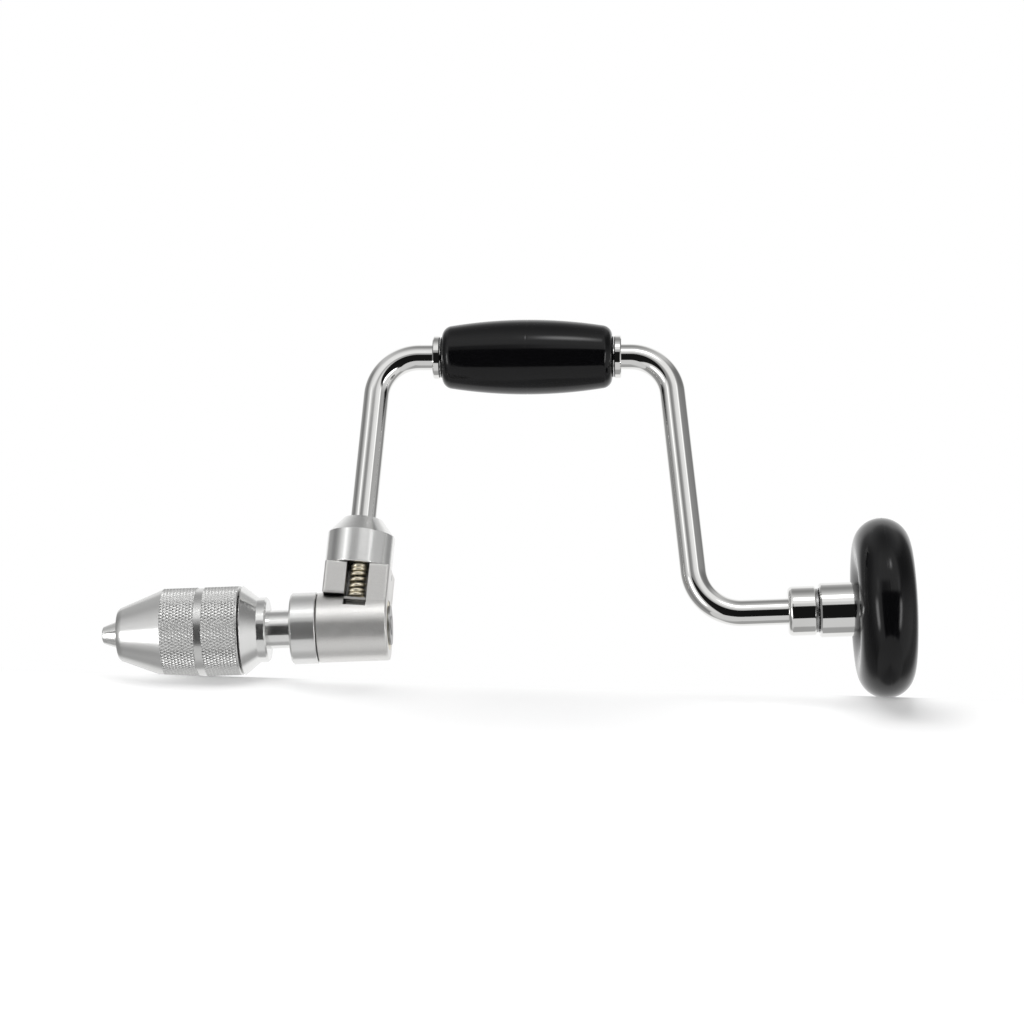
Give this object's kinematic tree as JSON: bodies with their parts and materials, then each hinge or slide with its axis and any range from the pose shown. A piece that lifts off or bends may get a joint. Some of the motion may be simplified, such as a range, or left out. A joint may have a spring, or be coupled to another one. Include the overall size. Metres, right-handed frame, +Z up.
{
  "type": "bit brace",
  "caption": "Hand bit brace: a bent chrome rod with a free-turning black grip, a knurled two-jaw chuck on a reversible box ratchet, and a round black breast pad on a thrust bearing",
  "frame": {"origin": "on the rotation axis, at the mouth of the closed jaws", "axes": "+X along the rotation axis from the jaws to the pad, +Z up from the axis to the grip, +Y to the rear of the head"},
  "size_m": [0.3747, 0.0826, 0.1871],
  "materials": {
    "polished_chrome": "mirror-bright plated steel",
    "satin_nickel": "fine blasted satin plating",
    "turned_steel": "turned satin plating, knurled on the shell",
    "dark_steel": "machined steel, lightly oiled",
    "brass_parts": "pale brass-coloured wire and bronze bushes",
    "black_plastic": "moulded gloss black plastic with faint parting lines"
  },
  "bodies": {
    "crank": {"crank_frame": "polished_chrome", "ratchet_body": "satin_nickel", "arm_socket": "turned_steel", "arm_cross_pin": "dark_steel", "front_bush": "brass_parts", "rear_bush": "brass_parts", "detent_ball": "dark_steel", "detent_spring": "dark_steel", "pawl_spring_front": "brass_parts", "pawl_spring_rear": "brass_parts", "grip_collar_left": "polished_chrome", "grip_collar_right": "polished_chrome", "thrust_collar": "polished_chrome", "thrust_race_collar": "dark_steel", "end_washer": "dark_steel", "end_nut": "dark_steel"},
    "selector": {"selector_ring": "polished_chrome"},
    "front_pawl": {"pawl_front": "dark_steel"},
    "rear_pawl": {"pawl_rear": "dark_steel"},
    "chuck": {"chuck_body": "turned_steel", "ratchet_wheel": "dark_steel", "wheel_pin": "dark_steel", "spindle_retainer": "dark_steel", "retainer_screw": "dark_steel", "jaw_spring": "dark_steel"},
    "cone_ring": {"jaw_ring": "dark_steel"},
    "shell": {"chuck_shell": "turned_steel"},
    "upper_jaw": {"jaw_upper": "dark_steel"},
    "lower_jaw": {"jaw_lower": "dark_steel"},
    "handle": {"grip": "black_plastic"},
    "breast_pad": {"pad_quill": "polished_chrome", "pad": "black_plastic", "thrust_race_quill": "dark_steel", "thrust_balls": "dark_steel"}
  },
  "joints": [
    {"name": "chuck_spin", "type": "hinge", "parent": "crank", "child": "chuck", "pos_m": [0.1, 0, 0], "axis": [1, 0, 0], "continuous": true},
    {"name": "selector_turn", "type": "hinge", "parent": "crank", "child": "selector", "pos_m": [0.094, 0, 0], "axis": [1, 0, 0], "range_deg": [0, 60]},
    {"name": "pawl_front_slide", "type": "slide", "parent": "crank", "child": "front_pawl", "axis": [0.1097, 0, 0.994], "range_m": [0, 0.0026], "deforming": ["pawl_spring_front"]},
    {"name": "pawl_rear_slide", "type": "slide", "parent": "crank", "child": "rear_pawl", "axis": [0.1097, 0, 0.994], "range_m": [-0.0026, 0], "deforming": ["pawl_spring_rear"]},
    {"name": "shell_feed", "type": "slide", "parent": "chuck", "child": "cone_ring", "axis": [-1, 0, 0], "range_m": [0, 0.008]},
    {"name": "shell_turn", "type": "hinge", "parent": "cone_ring", "child": "shell", "pos_m": [0.03, 0, 0], "axis": [-1, 0, 0], "range_deg": [0, 1440]},
    {"name": "jaw_upper_slide", "type": "slide", "parent": "chuck", "child": "upper_jaw", "axis": [0, 0, 1], "range_m": [0, 0.002]},
    {"name": "jaw_lower_slide", "type": "slide", "parent": "chuck", "child": "lower_jaw", "axis": [0, 0, -1], "range_m": [0, 0.002]},
    {"name": "grip_spin", "type": "hinge", "parent": "crank", "child": "handle", "pos_m": [0.19975, 0, 0.128], "axis": [0.9993, 0, -0.0366], "continuous": true},
    {"name": "pad_spin", "type": "hinge", "parent": "crank", "child": "breast_pad", "pos_m": [0.34, 0, 0], "axis": [1, 0, 0], "continuous": true}
  ],
  "couplings": [
    {"joint": "pawl_front_slide", "follows": "selector_turn", "m_per_rad": 0.0024826},
    {"joint": "pawl_rear_slide", "follows": "selector_turn", "m_per_rad": -0.0024826},
    {"joint": "shell_feed", "follows": "shell_turn", "m_per_rad": 0.00031831},
    {"joint": "jaw_upper_slide", "follows": "shell_turn", "m_per_rad": 0.00007957},
    {"joint": "jaw_lower_slide", "follows": "shell_turn", "m_per_rad": 0.00007957}
  ]
}
